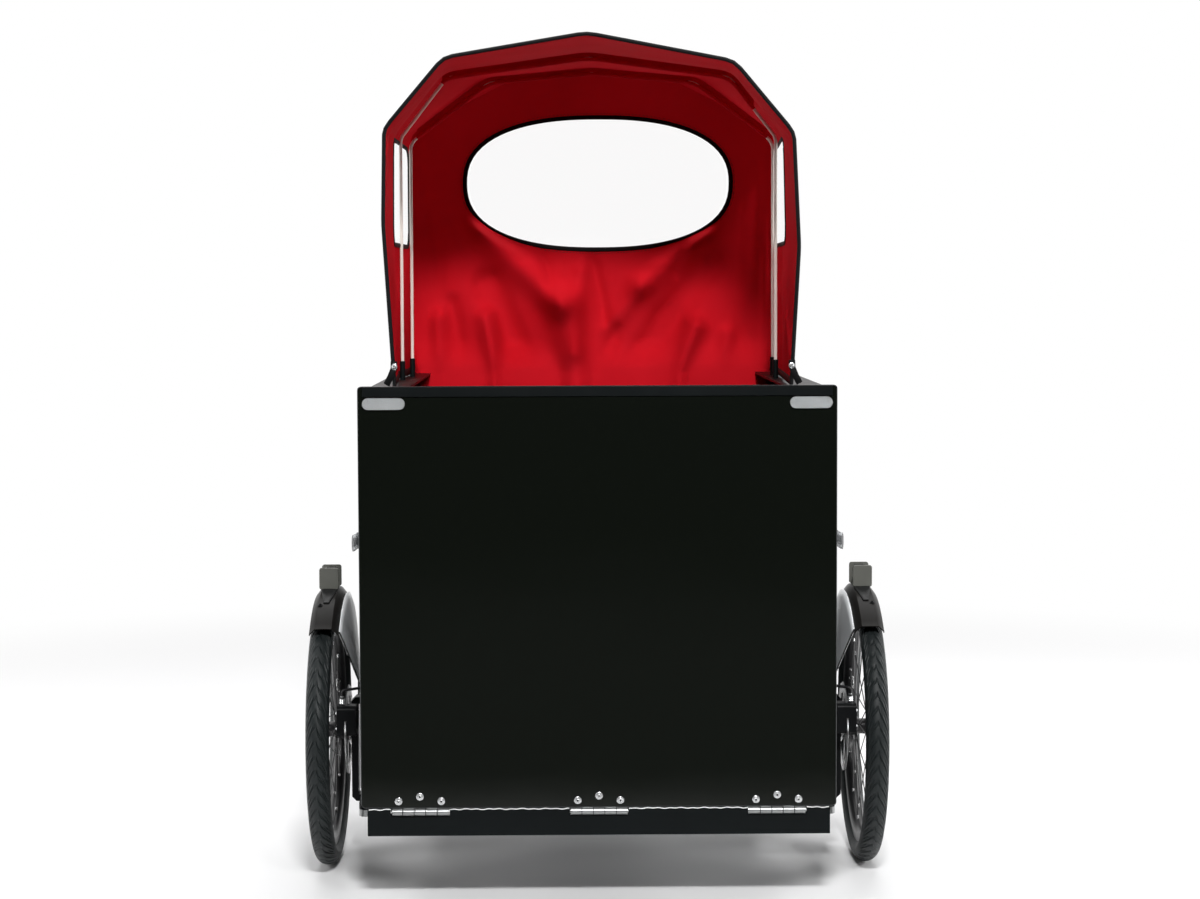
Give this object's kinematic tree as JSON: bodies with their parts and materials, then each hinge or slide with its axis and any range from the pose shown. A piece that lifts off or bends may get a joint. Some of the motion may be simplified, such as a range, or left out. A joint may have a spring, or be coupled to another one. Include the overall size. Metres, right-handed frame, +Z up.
{
  "type": "electric three-wheeled cargo cycle",
  "caption": "Electric cargo trike with a hooded load box and drop-down front door between two steered front wheels, saddle and hub-motor wheel behind.",
  "frame": {"origin": "on the ground under the centre of the outer box", "axes": "-Y is forward, +X is the rider's left, +Z is up"},
  "size_m": [1.01, 2.03, 1.47],
  "materials": {
    "frame_paint": "satin black powder coat",
    "floor_board": "matt black coated board",
    "box_panel": "gloss black sheet",
    "sill_paint": "satin black paint",
    "door_gloss": "high gloss black sheet",
    "zinc": "bright zinc plate",
    "chrome_trim": "polished",
    "hoop_rod": "satin",
    "hood_cloth": "red coated polyester canvas",
    "window_film": "clear vinyl film",
    "bare_metal": "satin silver",
    "saddle_cover": "black synthetic leather",
    "fender_plastic": "glossy black plastic",
    "battery_case": "fine textured black",
    "lamp_red": "clear red lens",
    "chain_steel": "oiled steel",
    "reflector": "silver prismatic",
    "grip_rubber": "matt black",
    "knuckle_black": "black",
    "bracket_gloss": "high gloss black",
    "lamp_grey": "satin grey",
    "tyre_rubber": "black rubber",
    "wheel_black": "black anodised",
    "rotor_steel": "ground steel",
    "motor_case": "satin black",
    "crank_black": "satin black",
    "cable_black": "black cable sheath"
  },
  "bodies": {
    "root": {"frame": "frame_paint", "box_floor": "floor_board", "box_side_left": "box_panel", "box_side_right": "box_panel", "box_rear": "box_panel", "front_posts": "frame_paint", "front_sill": "sill_paint", "hinge_lower": "zinc", "box_latches": "chrome_trim", "top_rail": "sill_paint", "hood_hoops": "hoop_rod", "hood_fabric": "hood_cloth", "hood_windows": "window_film", "seat_post": "bare_metal", "saddle": "saddle_cover", "rear_axle": "zinc", "rear_fender": "fender_plastic", "rear_carrier": "frame_paint", "battery": "battery_case", "rear_lamp": "lamp_red", "chain": "chain_steel", "chain_guard": "fender_plastic", "cable_entries": "cable_black"},
    "door": {"door_panel": "door_gloss", "door_frame": "frame_paint", "door_rim": "sill_paint", "door_reflectors": "reflector", "hinge_upper": "zinc"},
    "steering": {"handlebar": "bare_metal", "grips": "grip_rubber", "brake_levers": "bare_metal"},
    "tie_rod": {"tie_rod": "zinc"},
    "drag_link": {"drag_link": "zinc"},
    "corner_left": {"knuckle_left": "knuckle_black", "brake_caliper_left": "knuckle_black", "fender_left": "fender_plastic", "fender_bracket_left": "bracket_gloss", "lamp_left": "lamp_grey", "brake_cable_left": "cable_black"},
    "corner_right": {"knuckle_right": "knuckle_black", "brake_caliper_right": "knuckle_black", "fender_right": "fender_plastic", "fender_bracket_right": "bracket_gloss", "lamp_right": "lamp_grey", "brake_cable_right": "cable_black"},
    "front_wheel_left": {"tyre_left": "tyre_rubber", "wheel_left": "wheel_black", "rotor_left": "rotor_steel"},
    "front_wheel_right": {"tyre_right": "tyre_rubber", "wheel_right": "wheel_black", "rotor_right": "rotor_steel"},
    "rear_wheel": {"tyre_rear": "tyre_rubber", "wheel_rear": "wheel_black", "hub_motor": "motor_case"},
    "cranks": {"crankset": "crank_black", "pedals": "grip_rubber"}
  },
  "joints": [
    {"name": "door_hinge", "type": "hinge", "parent": "root", "child": "door", "pos_m": [0, -1.009, 0.167], "axis": [1, 0, 0], "range_deg": [0, 102]},
    {"name": "steer", "type": "hinge", "parent": "root", "child": "steering", "pos_m": [0, -0.15, 0.5], "axis": [0, 0, 1], "range_deg": [-25, 25]},
    {"name": "kingpin_left", "type": "hinge", "parent": "root", "child": "corner_left", "pos_m": [0.414, -0.649, 0.21], "axis": [0, 0, 1], "range_deg": [-25, 25]},
    {"name": "kingpin_right", "type": "hinge", "parent": "root", "child": "corner_right", "pos_m": [-0.414, -0.649, 0.21], "axis": [0, 0, 1], "range_deg": [-25, 25]},
    {"name": "tie_rod_pivot", "type": "hinge", "parent": "corner_left", "child": "tie_rod", "pos_m": [0.414, -0.729, 0.107], "axis": [0, 0, 1], "range_deg": [-25, 25]},
    {"name": "drag_link_pivot", "type": "hinge", "parent": "steering", "child": "drag_link", "pos_m": [0.08, -0.15, 0.107], "axis": [0, 0, 1], "range_deg": [-25, 25]},
    {"name": "spin_left", "type": "hinge", "parent": "corner_left", "child": "front_wheel_left", "pos_m": [0.485, -0.649, 0.243], "axis": [1, 0, 0], "continuous": true},
    {"name": "spin_right", "type": "hinge", "parent": "corner_right", "child": "front_wheel_right", "pos_m": [-0.485, -0.649, 0.243], "axis": [1, 0, 0], "continuous": true},
    {"name": "spin_rear", "type": "hinge", "parent": "root", "child": "rear_wheel", "pos_m": [0, 0.674, 0.326], "axis": [1, 0, 0], "continuous": true},
    {"name": "crank_spin", "type": "hinge", "parent": "root", "child": "cranks", "pos_m": [0, 0.22, 0.285], "axis": [1, 0, 0], "continuous": true}
  ],
  "couplings": [
    {"joint": "kingpin_left", "follows": "steer", "ratio": 1},
    {"joint": "kingpin_right", "follows": "steer", "ratio": 1},
    {"joint": "tie_rod_pivot", "follows": "steer", "ratio": -1},
    {"joint": "drag_link_pivot", "follows": "steer", "ratio": -1}
  ]
}
